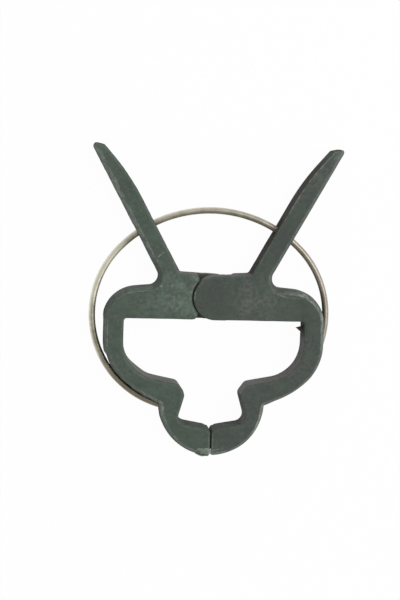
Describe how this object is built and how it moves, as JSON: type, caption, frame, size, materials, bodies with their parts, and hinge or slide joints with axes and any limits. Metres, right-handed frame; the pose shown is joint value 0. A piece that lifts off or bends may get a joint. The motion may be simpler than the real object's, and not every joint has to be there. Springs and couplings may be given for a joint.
{
  "type": "spring plant clip",
  "caption": "Moulded spring clip for plant stems: scissor levers on a lap hinge, opened by pinching the handles and shut by a ring of spring wire, with a jaw pocket for a stem and stake.",
  "frame": {"origin": "on the hinge axis, in the plane of the back faces", "axes": "+Z along the hinge axis, out of the front faces; +Y from the jaws towards the finger handles; +X to the right lever"},
  "size_m": [0.0459, 0.0573, 0.006],
  "materials": {
    "lever_plastic": "matte, dark grey-green moulded plastic with paler rubbed edges",
    "spring_wire": "drawn spring steel with a pale yellow plating"
  },
  "bodies": {
    "left_lever": {"left_lever": "lever_plastic", "spring_ring": "spring_wire"},
    "right_lever": {"right_lever": "lever_plastic"}
  },
  "joints": [
    {"name": "jaw_hinge", "type": "hinge", "parent": "left_lever", "child": "right_lever", "pos_m": [0, 0, 0.003], "axis": [0, 0, 1], "range_deg": [0, 50], "stiffness_Nm_per_rad": 0.1, "springref_deg": -28.65, "deforming": ["spring_ring"]}
  ]
}
